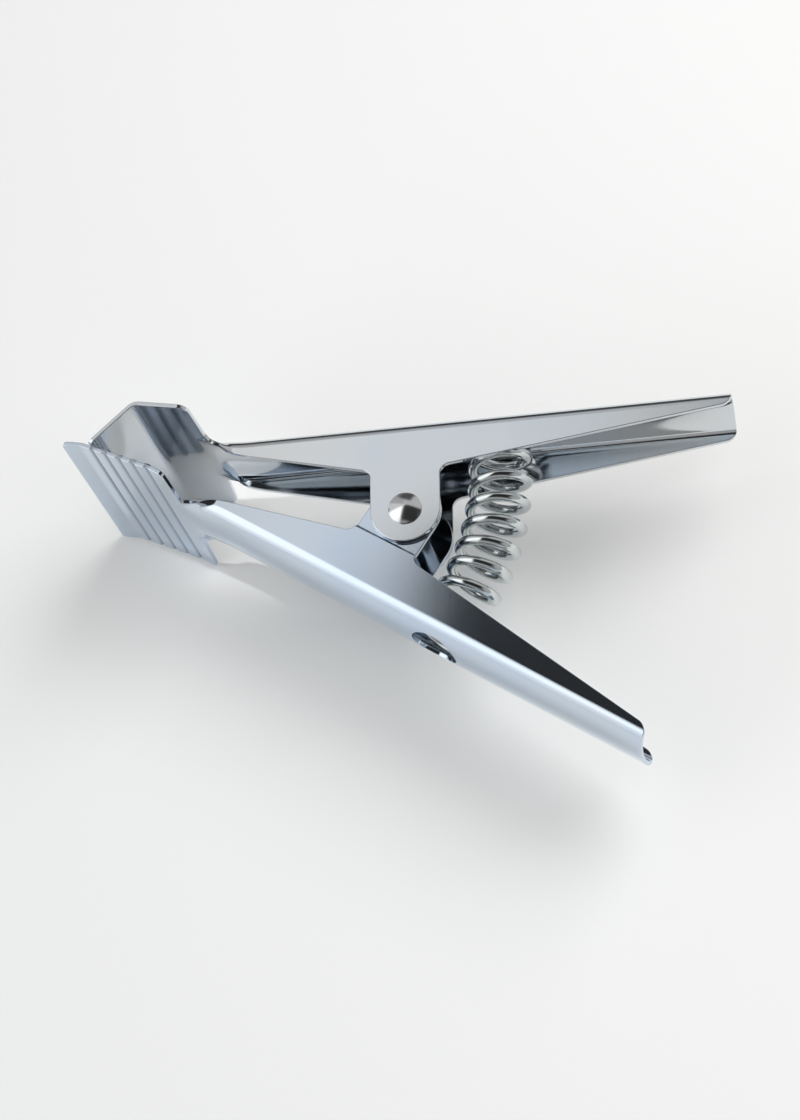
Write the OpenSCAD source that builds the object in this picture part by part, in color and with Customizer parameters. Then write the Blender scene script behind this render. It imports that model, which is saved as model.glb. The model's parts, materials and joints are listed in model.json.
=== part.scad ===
// Sprung squeeze clamp pressed from bright plated sheet steel.
// Two channel-shaped arms cross at one rivet. A coil spring between the handles keeps the two
// broad jaw plates shut: a folded hook plate on the upper arm lands on a ribbed plate on the lower.
//
// Frame: +Z runs along the rivet, +X points along the handles and +Y towards the upper arm.
// Each arm is drawn in its own frame: u along its back (+u to the handle), v outwards from the
// pivot, z along the rivet. The upper arm is that frame turned by half_angle, the lower its mirror.

/* [Arms] */
// Half of the angle between the two arms with the jaws shut
half_angle = 16.7; // [15:0.1:18]
// Thickness of the pressed sheet
sheet_t = 1; // [0.8:0.05:1.2]
// Width of an arm across its two flanges
arm_w = 18; // [17:0.5:22]
// Distance from the pivot axis to the crown of an arm's back
crown_v = 22.6; // [21.5:0.1:24]
// Outside radius of the arched back, across the arm
crown_r = 21; // [18:1:40]
// Outside radius of the bends between back and flanges
bend_r = 2.5; // [2:0.1:3]
// Distance from the pivot to the end of a handle
handle_l = 72; // [60:1:90]
// Corner radius at the end of a handle, seen from above
handle_corner_r = 2; // [1:0.25:4]

/* [Flanges] */
// Distance from the pivot axis line to the rear flange edge, where the edge line crosses the pivot
rear_edge_v = 8.9; // [8.6:0.1:10]
// How far the rear flange edge climbs towards the back per millimetre of handle
rear_edge_slope = 0.13; // [0.1:0.01:0.15]
// The same distance for the front flange edge
front_edge_v = 8; // [7.6:0.1:9]
// How far the front flange edge climbs towards the back per millimetre of arm
front_edge_slope = 0.247; // [0.22:0.005:0.26]
// Distance from the pivot to the front nose of the flanges
nose_l = 46; // [46:0.1:48]
// Radius that lifts the front nose of a flange into the back
nose_r = 7; // [4:0.5:7.5]

/* [Pivot ears] */
// Radius of the round pivot ears
ear_r = 7.75; // [7:0.25:7.75]
// Fillet radius between an ear and the flange in front of it
ear_front_fillet_r = 2; // [1:0.25:3]
// Fillet radius between an ear and the flange behind it
ear_rear_fillet_r = 2.5; // [1:0.25:4]
// Side gap between an upper ear and the lower ear inside it
ear_gap = 0.2; // [0.1:0.05:0.4]
// Distance from the pivot to the joggle that sets the lower ears inwards
joggle_v = 8.7; // [8.5:0.1:8.8]
// Length over which the joggle steps inwards
joggle_run = 0.8; // [0.5:0.1:0.85]

/* [Rivet] */
// Diameter of the rivet's shank
rivet_d = 5; // [4:0.25:6]
// Running clearance between shank and ears, on the radius
rivet_clearance = 0.05; // [0.03:0.01:0.08]
// Diameter of the rivet's heads
rivet_head_d = 7.3; // [6.8:0.1:9]
// Height of the rounded factory head
rivet_dome_h = 1.5; // [1:0.1:2]
// Height of the flatter formed head
rivet_tail_h = 1.2; // [0.8:0.1:1.6]
// Straight rim under each rounded head
rivet_rim_h = 0.3; // [0.1:0.05:0.5]
// Free play under each head
rivet_play = 0.1; // [0.05:0.05:0.2]

/* [Jaw plates] */
// Width of both jaw plates, along the rivet
jaw_w = 47; // [40:1:60]
// Distance from the pivot to the rear edge of the jaw plates
jaw_rear_l = 45.2; // [44.8:0.1:45.8]
// How far the rear edge is swept forwards at the outer corners
jaw_sweep = 0.7; // [0:0.1:1]
// Corner radius at the front of the jaw plates
jaw_front_corner_r = 1.2; // [0.5:0.1:2]
// Height of the flat plates' outer face above the pivot axis
plate_v = 23; // [22.7:0.1:24.4]
// Length over which the arched back flattens into the plate
neck_blend_l = 5; // [3:0.5:8]
// Radius of the plate's spread into the jaw, at each side of the neck
neck_fillet_r = 5.5; // [4:0.5:7]

/* [Upper jaw] */
// Length of the roof, from the rear edge to the fold
roof_l = 13.3; // [11:0.1:14]
// Outward tilt of the roof against the arm's back
roof_tilt = 10.8; // [8:0.2:12]
// Inward tilt of the folded lip against the arm's back
lip_tilt = 42.4; // [38:0.2:46]
// Inside radius of the fold between roof and lip
fold_r = 1; // [0.5:0.1:2]
// Corner radius at the rear of the roof
roof_corner_r = 2.4; // [1:0.2:3]
// Gap between the lip's edge and the lower plate with the jaws shut
jaw_gap = 0.15; // [0.1:0.05:0.4]

/* [Lower jaw] */
// Distance from the pivot to the bend where the lower plate tilts outwards
plate_bend_l = 49.4; // [48.5:0.1:50]
// Outward tilt of the lower plate against the arm's back
plate_tilt = 8.5; // [7:0.1:10]
// Length of the lower plate from its bend to its flared tip
plate_l = 17.5; // [17.3:0.1:19]
// Length of the flared tip
tip_l = 4.4; // [2:0.2:6]
// Outward tilt of the flared tip against the arm's back
tip_tilt = 23; // [18:0.5:35]
// Corner radius at the rear of the lower plate
plate_corner_r = 1; // [0.5:0.1:3]
// Number of pressed grip grooves
groove_count = 5; // [3:1:5]
// Distance between two grooves
groove_pitch = 3.45; // [2.8:0.05:3.5]
// Width of a groove
groove_w = 1.2; // [0.8:0.1:1.4]
// Depth of a groove, and height of the ridge inside it
groove_depth = 0.45; // [0.2:0.05:0.6]
// Distance from the plate's bend to the first groove
groove_start = 0.85; // [0.8:0.05:1.2]

/* [Spring] */
// Diameter of the spring's wire
wire_d = 2.3; // [1.8:0.1:2.4]
// Outside diameter of the coils
coil_d = 14.4; // [13:0.1:14.6]
// Number of turns
turns = 10; // [8:1:10]
// Distance between the turns at both closed ends
end_pitch = 2.85; // [2.8:0.05:3.2]
// Distance from the pivot to the spring's seat, along an arm
seat_u = 20; // [18:0.5:24]
// Distance between the wire and the plane where it seats
seat_gap = 0.15; // [0.05:0.05:0.3]
// How much further than its end slopes ask the middle of the spring bows outwards
spring_bow = 0.9; // [0:0.1:1.5]
// Turn angle of the wire at the middle of the spring
spring_phase = 263; // [0:1:359]
// Diameter of the round hole in each arm's back, behind the spring
web_hole_d = 11.25; // [9:0.25:12]

/* [Hidden] */
$fn = 96;
hull_arch_fn = 160;
hull_bend_fn = 32;
coil_rings = 8;
wire_sides = 6;
beyond = 3;
arc_ease = 1.001;

// Cross-section of the arms: the arch meets each bend at a shared tangent
half_w = arm_w / 2;
bend_z = half_w - bend_r;
arch_v = crown_v - crown_r;
arch_angle = asin(bend_z / (crown_r - bend_r));
bend_v = arch_v + (crown_r - bend_r) * cos(arch_angle);
plate_bend_v = plate_v - bend_r;

// Neck: the arch ends where the jaw plate's spread begins
neck_flat_l = jaw_rear_l - neck_fillet_r;
neck_arch_l = neck_flat_l - neck_blend_l;

// Lower ears pass inside the upper ones
ear_inset = sheet_t + ear_gap;

function turned(p) = [p[0] * cos(half_angle) - p[1] * sin(half_angle),
                      p[0] * sin(half_angle) + p[1] * cos(half_angle)];
function flipped(p) = [p[0], -p[1]];
function unit(p) = p / norm(p);
function ahead(tilt) = [-cos(tilt), sin(tilt)];
function outward(tilt) = [sin(tilt), cos(tilt)];
function rear_edge(u) = rear_edge_v + rear_edge_slope * u;
function front_edge(u) = front_edge_v - front_edge_slope * u;

// Lower jaw plate, in the arm's frame: s runs forwards along the tilted plate
plate_bend = [-plate_bend_l, plate_v];
plate_end = plate_bend + plate_l * ahead(plate_tilt);
tip_end = plate_end + tip_l * ahead(tip_tilt);
tip_half_tilt = (plate_tilt + tip_tilt) / 2;
function groove(s) = [for (step = [[-groove_w / 2, 0], [0, -groove_depth], [groove_w / 2, 0]])
    plate_bend + (s + step[0]) * ahead(plate_tilt) + step[1] * outward(plate_tilt)];
groove_points = [for (i = [0:groove_count - 1]) each groove(groove_start + i * groove_pitch)];

// Upper jaw lip: as long as it takes to land on the lower plate, less the gap
roof_end = [-jaw_rear_l, plate_v] + roof_l * ahead(roof_tilt);
lip_inside = turned(roof_end - sheet_t * outward(-lip_tilt));
plate_inside = flipped(turned(plate_bend - sheet_t * outward(plate_tilt)));
plate_normal = -flipped(turned(outward(plate_tilt)));
lip_height = (lip_inside - plate_inside) * plate_normal;
lip_l = (lip_height - jaw_gap) / -(turned(ahead(-lip_tilt)) * plate_normal);
lip_end = roof_end + lip_l * ahead(-lip_tilt);

// Frame: centred between the lower jaw's tip and the handle ends, standing on the jaws' side edges
handle_end_u = handle_l - handle_corner_r
    + sqrt(max(0, pow(handle_corner_r, 2) - pow(max(0, handle_corner_r - sheet_t), 2)));
rear_x = turned([handle_end_u, rear_edge(handle_end_u)])[0];
front_x = min(turned(tip_end)[0], turned(tip_end - sheet_t * outward(tip_tilt))[0]);
pivot_x = -(rear_x + front_x) / 2;

// Spring: its centre line leaves both backs squarely and bows away from the pivot between them
coil_r = (coil_d - wire_d) / 2;
seat_z = min(coil_d / 2, half_w - sheet_t);
seat_arch_v = arch_v + sqrt(pow(crown_r - sheet_t, 2) - pow(seat_z, 2));
seat_bend_v = bend_v + sqrt(max(0, pow(bend_r - sheet_t, 2) - pow(max(0, seat_z - bend_z), 2)));
seat_v = min(seat_arch_v, seat_bend_v);
seat = turned([seat_u, seat_v - seat_gap - wire_d / 2]);
half_l = seat[1];
slope_bow = half_l * tan(half_angle) / 2;
mid_pitch = (2 * half_l - 2 * end_pitch) / (turns - 2);
ring_count = turns * coil_rings;

function bow(y) = let (rest = 1 - pow(y / half_l, 2)) slope_bow * rest + spring_bow * rest * rest;
function bow_slope(y) = let (t = y / half_l)
    (-2 * slope_bow * t - 4 * spring_bow * t * (1 - t * t)) / half_l;
function drop(n) = end_pitch * min(n, 1) + mid_pitch * max(0, min(n - 1, turns - 2))
    + end_pitch * max(0, n - turns + 1);
function wire_point(n) = let (
        y = half_l - drop(n),
        side = unit([1, -bow_slope(y)]),
        phi = spring_phase + 360 * (n - turns / 2))
    [seat[0] + bow(y) + coil_r * cos(phi) * side[0], y + coil_r * cos(phi) * side[1], coil_r * sin(phi)];
wire = [for (i = [0:ring_count]) wire_point(i / coil_rings)];
wire_out = wire[0] + wire_d * unit(wire[0] - wire[1]);
wire_in = wire[ring_count] + wire_d * unit(wire[ring_count] - wire[ring_count - 1]);
run = concat([wire_out], wire, [wire_in]);

function coil_axis(i) = let (
        n = max(0, min(i - 1, ring_count)) / coil_rings,
        y = half_l - drop(n))
    [seat[0] + bow(y), y, 0];
function run_way(i) = unit(run[min(i + 1, len(run) - 1)] - run[max(i - 1, 0)]);
function ring(i) = let (
        way = run_way(i),
        across = unit(cross(way, cross(run[i] - coil_axis(i), way))),
        up = cross(way, across))
    [for (k = [0:wire_sides - 1]) run[i]
        + wire_d / 2 * (cos(360 * k / wire_sides) * across + sin(360 * k / wire_sides) * up)];

wire_gap = min([for (i = [0:ring_count]) for (j = [i + coil_rings - 2:1:ring_count])
    norm(wire[i] - wire[j])]) - wire_d;
echo(spring_least_gap_to_itself_mm = wire_gap);
echo(lip_length_mm = lip_l, pivot_x_mm = pivot_x);

// Outlines with true arcs. Each vertex is [x, y, radius], listed counter-clockwise.
function vertex(list, i) = let (p = list[(i + len(list)) % len(list)]) [p[0], p[1]];
function turn_sense(list, i) = cross(vertex(list, i) - vertex(list, i - 1),
                                     vertex(list, i + 1) - vertex(list, i));

// What lies between a sharp corner and its arc. The arc is a touch wide, so that it crosses the
// straight edges instead of grazing them.
module corner_web(list, i) {
    p = vertex(list, i);
    back = unit(vertex(list, i - 1) - p);
    on = unit(vertex(list, i + 1) - p);
    half = acos(back * on) / 2;
    radius = list[i][2];
    middle = p + unit(back + on) * radius / sin(half);
    difference() {
        polygon([middle + 1.3 * (p - middle), p + back * radius / tan(half), middle,
                 p + on * radius / tan(half)]);
        translate(middle) circle(r = radius * arc_ease);
    }
}

module rounded_outline(list) {
    difference() {
        union() {
            polygon([for (i = [0:len(list) - 1]) vertex(list, i)]);
            for (i = [0:len(list) - 1]) {
                if (list[i][2] > 0 && turn_sense(list, i) < 0) corner_web(list, i);
            }
        }
        for (i = [0:len(list) - 1]) {
            if (list[i][2] > 0 && turn_sense(list, i) > 0) corner_web(list, i);
        }
    }
}

// Puts a shape drawn in the (v, z) plane at u = from, and runs it towards +u
module along_arm(from, length) {
    translate([from, 0, 0]) rotate([90, 0, 90]) linear_extrude(length) children();
}

// Runs a shape drawn in the (u, v) plane across the arm
module across_arm(width) {
    translate([0, 0, -width / 2]) linear_extrude(width) children();
}

// Runs a shape drawn in the (u, z) plane through the sheet, from above the plates to the pivot
module through_back() {
    rotate([90, 0, 0]) mirror([0, 0, 1]) linear_extrude(crown_v + 4 * beyond) children();
}

// Filled outline of the arched section; inset 0 is the outside, sheet_t the inside
module arch_section(inset, arch_fn = $fn, bend_fn = $fn) {
    reach = 2 * crown_r;
    intersection() {
        translate([arch_v, 0]) circle(r = crown_r - inset, $fn = arch_fn);
        polygon([[arch_v, 0],
                 [arch_v + reach * cos(arch_angle), -reach * sin(arch_angle)],
                 [arch_v + reach * cos(arch_angle), reach * sin(arch_angle)]]);
    }
    bend_section(bend_v, inset, bend_fn);
}

// The two bends and the space between the flanges below them
module bend_section(height, inset, bend_fn = $fn) {
    for (side = [-1, 1]) {
        translate([height, side * bend_z]) circle(r = bend_r - inset, $fn = bend_fn);
    }
    translate([joggle_v, inset - half_w]) square([height - joggle_v, arm_w - 2 * inset]);
}

// Filled outline of the flat section at the jaws' end of the neck
module flat_section(inset, bend_fn = $fn) {
    bend_section(plate_bend_v, inset, bend_fn);
    translate([joggle_v, -bend_z]) square([plate_v - inset - joggle_v, 2 * bend_z]);
}

// One leg of an ear below the joggle line, set inwards by inset
module ear_section(inset) {
    for (side = [0, 1]) {
        mirror([0, side]) polygon([
            [joggle_v, half_w], [joggle_v, half_w - sheet_t],
            [joggle_v - joggle_run, half_w - inset - sheet_t], [-ear_r - beyond, half_w - inset - sheet_t],
            [-ear_r - beyond, half_w - inset], [joggle_v - joggle_run, half_w - inset]]);
    }
}

module neck_slice(from) {
    along_arm(from, 0.01) children();
}

// Straight channel, neck and ears before the flanges are trimmed
module arm_channel(inset) {
    along_arm(-neck_arch_l, neck_arch_l + handle_l) difference() {
        arch_section(0);
        arch_section(sheet_t);
    }
    along_arm(-neck_arch_l, neck_arch_l + handle_l) ear_section(inset);
    difference() {
        hull() {
            neck_slice(-neck_arch_l) arch_section(0, hull_arch_fn, hull_bend_fn);
            neck_slice(-neck_flat_l) flat_section(0, hull_bend_fn);
        }
        hull() {
            neck_slice(-neck_arch_l) arch_section(sheet_t, hull_arch_fn, hull_bend_fn);
            neck_slice(-neck_flat_l) flat_section(sheet_t, hull_bend_fn);
        }
    }
    along_arm(-nose_l, nose_l - neck_flat_l) difference() {
        flat_section(0);
        flat_section(sheet_t);
    }
}

// Side view of the flanges: a straight taper each way and one round ear at the pivot
module flange_outline() {
    top = plate_v + beyond;
    rounded_outline([
        [handle_l + beyond, top, 0],
        [-nose_l, top, 0],
        [-nose_l, front_edge(-nose_l), nose_r],
        [-ear_r, front_edge(-ear_r), ear_front_fillet_r],
        [-ear_r, 0, 0],
        [ear_r, 0, 0],
        [ear_r, rear_edge(ear_r), ear_rear_fillet_r],
        [handle_l + beyond, rear_edge(handle_l + beyond), 0]]);
    circle(r = ear_r);
}

// Plan of the handle: square to the back, with two rounded corners
module handle_plan() {
    rounded_outline([
        [-jaw_rear_l - beyond, -half_w - beyond, 0],
        [handle_l - 2 * handle_corner_r, -half_w - beyond, 0],
        [handle_l - 2 * handle_corner_r, -half_w, 0],
        [handle_l, -half_w, handle_corner_r],
        [handle_l, half_w, handle_corner_r],
        [handle_l - 2 * handle_corner_r, half_w, 0],
        [handle_l - 2 * handle_corner_r, half_w + beyond, 0],
        [-jaw_rear_l - beyond, half_w + beyond, 0]]);
}

// Plan of a jaw plate: the neck spreads into the full width through two hollow curves
module jaw_plan(front_u, rear_corner_r) {
    side_z = jaw_w / 2;
    spread_z = bend_z + neck_fillet_r;
    rounded_outline([
        [front_u, side_z, jaw_front_corner_r],
        [front_u, -side_z, jaw_front_corner_r],
        [-jaw_rear_l - jaw_sweep, -side_z, rear_corner_r],
        [-jaw_rear_l, -spread_z, 0],
        [-jaw_rear_l, -bend_z, neck_fillet_r],
        [-neck_flat_l, -bend_z, 0],
        [-neck_flat_l, bend_z, 0],
        [-jaw_rear_l, bend_z, neck_fillet_r],
        [-jaw_rear_l, spread_z, 0],
        [-jaw_rear_l - jaw_sweep, side_z, rear_corner_r]]);
}

// Roof and folded lip of the upper jaw, from the side
module upper_jaw_profile() {
    inside_turn = sheet_t / cos((roof_tilt + lip_tilt) / 2);
    rounded_outline([
        [-neck_flat_l, plate_v, 0],
        [-jaw_rear_l, plate_v, 0],
        concat(roof_end, fold_r + sheet_t),
        concat(lip_end, 0),
        concat(lip_end - sheet_t * outward(-lip_tilt), 0),
        concat(roof_end - inside_turn * outward((roof_tilt - lip_tilt) / 2), fold_r),
        [-jaw_rear_l, plate_v - sheet_t, 0],
        [-neck_flat_l, plate_v - sheet_t, 0]]);
}

// Ribbed plate and flared tip of the lower jaw, from the side
module lower_jaw_profile() {
    tip_turn = sheet_t / cos((tip_tilt - plate_tilt) / 2);
    down = -sheet_t * outward(plate_tilt);
    count = len(groove_points);
    polygon(concat(
        [[-neck_flat_l, plate_v], plate_bend],
        groove_points,
        [plate_end, tip_end, tip_end - sheet_t * outward(tip_tilt),
         plate_end - tip_turn * outward(tip_half_tilt)],
        [for (i = [count - 1:-1:0]) groove_points[i] + down],
        [plate_bend + [0, -sheet_t], [-neck_flat_l, plate_v - sheet_t]]));
}

module rivet_bore(z_reach) {
    translate([0, 0, -z_reach]) cylinder(r = rivet_d / 2 + rivet_clearance, h = 2 * z_reach);
}

module web_hole() {
    translate([seat_u, joggle_v, 0]) rotate([-90, 0, 0]) cylinder(d = web_hole_d, h = crown_v);
}

// A whole pressed arm in its own frame; the children are its jaw's side profile
module pressed_arm(inset, jaw_front_u, rear_corner_r) {
    difference() {
        intersection() {
            arm_channel(inset);
            across_arm(arm_w + 2 * beyond) flange_outline();
            translate([0, -beyond - ear_r, 0]) through_back() handle_plan();
        }
        rivet_bore(arm_w);
        web_hole();
    }
    intersection() {
        across_arm(jaw_w + 2 * beyond) children();
        through_back() jaw_plan(jaw_front_u, rear_corner_r);
    }
}

module placed() {
    translate([pivot_x, 0, jaw_w / 2]) children();
}

module upper_arm() {
    color("#c3cbd3") placed() rotate([0, 0, half_angle])
        pressed_arm(0, lip_end[0] - 0.02, roof_corner_r) upper_jaw_profile();
}

module lower_arm() {
    color("#b3bcc8") placed() mirror([0, 1, 0]) rotate([0, 0, half_angle])
        pressed_arm(ear_inset, tip_end[0] - 0.02, plate_corner_r) lower_jaw_profile();
}

// Half profile of a rounded head on the axis, from its straight rim to the top of its cap
module rivet_head_profile(height) {
    cap_h = height - rivet_rim_h;
    cap_r = (pow(rivet_head_d / 2, 2) + pow(cap_h, 2)) / (2 * cap_h);
    intersection() {
        translate([0, height - cap_r]) circle(r = cap_r);
        square([rivet_head_d / 2, height]);
    }
}

module pivot_rivet() {
    seat_h = half_w + rivet_play;
    color("#aeb4ba") placed() rotate_extrude() {
        translate([0, -seat_h]) square([rivet_d / 2, 2 * seat_h]);
        translate([0, seat_h]) rivet_head_profile(rivet_dome_h);
        translate([0, -seat_h]) mirror([0, 1]) rivet_head_profile(rivet_tail_h);
    }
}

module spring() {
    last = len(run) - 1;
    sides = wire_sides;
    points = [for (i = [0:last]) each ring(i)];
    walls = [for (i = [0:last - 1]) for (k = [0:sides - 1]) let (
            a = i * sides + k,
            b = i * sides + (k + 1) % sides)
        each [[a, b, a + sides], [b, b + sides, a + sides]]];
    start_cap = [for (k = [1:sides - 2]) [0, k + 1, k]];
    end_cap = [for (k = [1:sides - 2]) [last * sides, last * sides + k, last * sides + k + 1]];
    color("#d8dce0") placed() polyhedron(points = points, faces = concat(walls, start_cap, end_cap));
}

upper_arm();
lower_arm();
pivot_rivet();
spring();
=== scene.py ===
# %% [markdown]
# # A sprung squeeze clamp in bright plated sheet steel
# The clamp is two pressed channel arms crossed at a rivet, with a coil spring between the handles.
# This notebook dresses its construction model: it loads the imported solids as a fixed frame, lays a
# finer pressed sheet, rivet and spring exactly where the solids are, and gives them their plating.
# %% Load the frame
import json
import math

import bpy
import numpy as np
from mathutils import Matrix, Vector
from mathutils.geometry import delaunay_2d_cdt


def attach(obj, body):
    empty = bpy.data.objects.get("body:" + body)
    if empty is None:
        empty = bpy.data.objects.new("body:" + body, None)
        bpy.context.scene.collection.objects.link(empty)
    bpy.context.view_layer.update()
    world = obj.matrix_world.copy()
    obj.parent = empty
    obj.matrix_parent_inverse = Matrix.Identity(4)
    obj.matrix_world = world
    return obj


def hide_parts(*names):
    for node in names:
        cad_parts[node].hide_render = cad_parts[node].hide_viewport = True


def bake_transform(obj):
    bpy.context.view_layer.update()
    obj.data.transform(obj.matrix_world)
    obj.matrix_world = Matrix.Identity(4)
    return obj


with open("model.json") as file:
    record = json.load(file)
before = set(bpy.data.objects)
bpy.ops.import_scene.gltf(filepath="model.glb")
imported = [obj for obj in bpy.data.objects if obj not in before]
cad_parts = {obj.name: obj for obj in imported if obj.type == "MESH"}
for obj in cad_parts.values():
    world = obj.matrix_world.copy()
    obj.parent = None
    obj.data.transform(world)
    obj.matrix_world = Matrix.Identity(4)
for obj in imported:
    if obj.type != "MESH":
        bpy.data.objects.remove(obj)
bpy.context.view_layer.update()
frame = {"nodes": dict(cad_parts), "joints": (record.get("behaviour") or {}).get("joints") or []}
MM = 0.001
joint = next(j for j in frame["joints"] if j["name"] == "jaw_pivot")
pivot = np.array(joint["pos_m"]) / MM
print("solids:", sorted(frame["nodes"]), "rivet axis at", np.round(pivot, 2), "mm")

# %% [markdown]
# ## The camera
# A view of an object in three-point perspective is fixed by a few facts: how long the lens is, where
# lines that run along the rivet vanish, where the rivet's head shows and how large a millimetre is
# there. The camera is worked out from those, so the lens is a plain one and needs no shift.
# %% Camera
frame_px = np.array([800.0, 1120.0])
lens_px = 2440.0
rivet_vanishing_px = np.array([922.0, 1715.0])
rivet_head_px = np.array([405.0, 508.5])
px_per_mm = 4.6
ear_face_z = 9.0
sensor_mm = 36.0
picture_level = np.array([0.914, -0.407, 0.0])
swing = math.radians(-37.78)

def unit(v):
    """A vector, or each row of an array of vectors, divided by its length."""
    v = np.asarray(v, float)
    return v / np.linalg.norm(v, axis=-1, keepdims=True)

# In camera space x is right, y is down and z runs away from the lens. The rivet's way comes first. A
# level line square to it is then turned by swing, until it runs from the jaws to the handles.
rivet_way = -unit([*(rivet_vanishing_px - frame_px / 2), lens_px])
level = unit(picture_level - rivet_way * (picture_level @ rivet_way))
upright = np.cross(rivet_way, level)
handle_way = math.cos(swing) * level + math.sin(swing) * upright
arm_way = -math.sin(swing) * level + math.cos(swing) * upright
depth = lens_px / px_per_mm
head_at = np.array([*((rivet_head_px - frame_px / 2) * depth / lens_px), depth])
turn = np.stack([handle_way, arm_way, rivet_way], axis=1)
pivot_at = head_at - ear_face_z * rivet_way
eye = pivot - turn.T @ pivot_at
right, down, forward = turn

lens = bpy.data.cameras.new("camera")
lens.sensor_width = sensor_mm
lens.lens = sensor_mm * lens_px / frame_px[1]
lens.clip_start = 0.01
camera = bpy.data.objects.new("camera", lens)
bpy.context.scene.collection.objects.link(camera)
axes = Matrix(np.stack([right, -down, -forward], axis=1).tolist())
camera.matrix_world = Matrix.Translation(Vector(eye * MM)) @ axes.to_4x4()
bpy.context.scene.camera = camera
print("camera at", np.round(eye), "mm, lens", round(lens.lens, 1), "mm")

# %% [markdown]
# ## The pressed sheet
# Each arm starts as a flat blank, cut out with its ears and holes, and is then pressed into a channel.
# The mesh is made the same way. A blank is an outline in two numbers: a runs along the arm and b runs
# across it, both measured on the metal. A press function then carries every (a, b) into space. One
# sheet made so has no joins, and its edges, holes and hollows all come out of the same surface.
# %% Sizes of the arms
half_angle = math.radians(16.7)
sheet_t = 1.0
half_w = 9.0
crown_v = 22.6
crown_r = 21.0
bend_r = 2.5
plate_v = 23.0
handle_l = 72.0
jaw_rear_l = 45.2
jaw_half_w = 23.5
jaw_sweep = 0.7
ear_r = 7.75
ear_inset = 1.2
joggle = (8.7, 7.9)
seat_u = 20.0
web_hole_r = 5.625
rivet_r = 2.5
edge_r = 0.16

bend_z = half_w - bend_r
arch_angle = math.asin(bend_z / (crown_r - bend_r))
arch_b = crown_r * arch_angle
bend_end_b = arch_b + bend_r * (math.pi / 2 - arch_angle)
flange_top_v = crown_v - crown_r + (crown_r - bend_r) * math.cos(arch_angle)
pivot_b = bend_end_b + flange_top_v

def smooth(x, low, high):
    """0 below low, 1 above high, and 3t^2 - 2t^3 between them."""
    t = np.clip((np.asarray(x, float) - low) / (high - low), 0, 1)
    return t * t * (3 - 2 * t)

print("blank half-width from crown to pivot line:", round(pivot_b, 2), "mm")

# %% [markdown]
# An outline is a list of corners, each with a radius, as a draughtsman would dimension it. Straight
# runs are divided evenly and each corner becomes an arc tangent to both of its edges.
# %% Outlines with rounded corners
def rounded_loop(corners, step=0.6, arc_step=0.2):
    """Points round a closed outline of [x, y, radius] corners. An arc of radius r starts r / tan(half
    the corner's angle) before the corner, and is centred r / sin(half) along the corner's bisector."""
    corners = np.array(corners, float)
    p, r = corners[:, :2], corners[:, 2]
    back, on = unit(np.roll(p, 1, 0) - p), unit(np.roll(p, -1, 0) - p)
    half = np.arccos(np.clip((back * on).sum(1), -1, 1)) / 2
    pieces = []
    for i in range(len(p)):
        stop = p[i] + back[i] * r[i] / math.tan(half[i])
        if r[i] > 0:
            centre = p[i] + unit(back[i] + on[i]) * r[i] / math.sin(half[i])
            start_angle = math.atan2(*(stop - centre)[::-1])
            sweep = (math.pi - 2 * half[i]) * np.sign(back[i][1] * on[i][0] - back[i][0] * on[i][1])
            count = max(3, int(np.ceil(abs(sweep) * r[i] / arc_step)))
            angles = start_angle + sweep * np.arange(count + 1) / count
            pieces.append(centre + r[i] * np.stack([np.cos(angles), np.sin(angles)], 1))
        else:
            pieces.append(p[i][None])
    loop = np.concatenate(pieces)
    gap = np.linalg.norm(np.roll(loop, -1, 0) - loop, axis=1)
    counts = np.maximum(1, np.ceil(gap / step)).astype(int)
    filled = [a + (b - a) * np.arange(n)[:, None] / n
              for a, b, n in zip(loop, np.roll(loop, -1, 0), counts)]
    return np.concatenate(filled)

def outward(loop):
    """Unit normals of a counter-clockwise loop: its way turned a quarter to the right."""
    way = unit(np.roll(loop, -1, 0) - np.roll(loop, 1, 0))
    return np.stack([way[:, 1], -way[:, 0]], 1)

def inside(points, loop):
    """True where a ray to +x crosses the loop an odd number of times."""
    x, y = points[:, :1], points[:, 1:]
    p, q = loop, np.roll(loop, -1, 0)
    crosses = (p[:, 1] > y) != (q[:, 1] > y)
    with np.errstate(divide="ignore", invalid="ignore"):
        at = p[:, 0] + (y - p[:, 1]) / (q[:, 1] - p[:, 1]) * (q[:, 0] - p[:, 0])
    return (crosses & (x < at)).sum(1) % 2 == 1

hole_sides = 64
circle_turn = np.linspace(0, 2 * math.pi, hole_sides, endpoint=False)

def round_loop(x, y, r):
    """A counter-clockwise circle of radius r about (x, y), with hole_sides points."""
    return np.stack([x + r * np.cos(circle_turn), y + r * np.sin(circle_turn)], 1)

print("helpers for outlines are ready")

# %% [markdown]
# Both arms are cut from nearly the same blank. From the jaw's front corner it runs back along the wide
# plate, round the hollow at the neck, down the tapering flange to the round ear, and on to the handle.
# The flange edges slope towards the back, at one rate in front of the ear and another behind it. Their
# distances are measured inwards from the line through the rivet.
# %% The blank
front_edge_in = 8.0
front_edge_slope = 0.247
rear_edge_in = 8.9
rear_edge_slope = 0.13
jaw_corner_r = 1.2
plate_root_b = 11.6
notch_b = 7.8
notch_back = 0.2
notch_r = 1.5
neck_a = -41.2
neck_r = 6.0
ear_front_r = 2.0
ear_rear_r = 2.5
handle_corner_r = 2.8
bore_clearance = 0.05

def flange_front_b(a):
    """Blank distance of the front flange edge: a line that climbs by front_edge_slope per mm."""
    return pivot_b - (front_edge_in - front_edge_slope * a)

def flange_rear_b(a):
    """Blank distance of the rear flange edge: a line that climbs by rear_edge_slope per mm."""
    return pivot_b - (rear_edge_in + rear_edge_slope * a)

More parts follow.
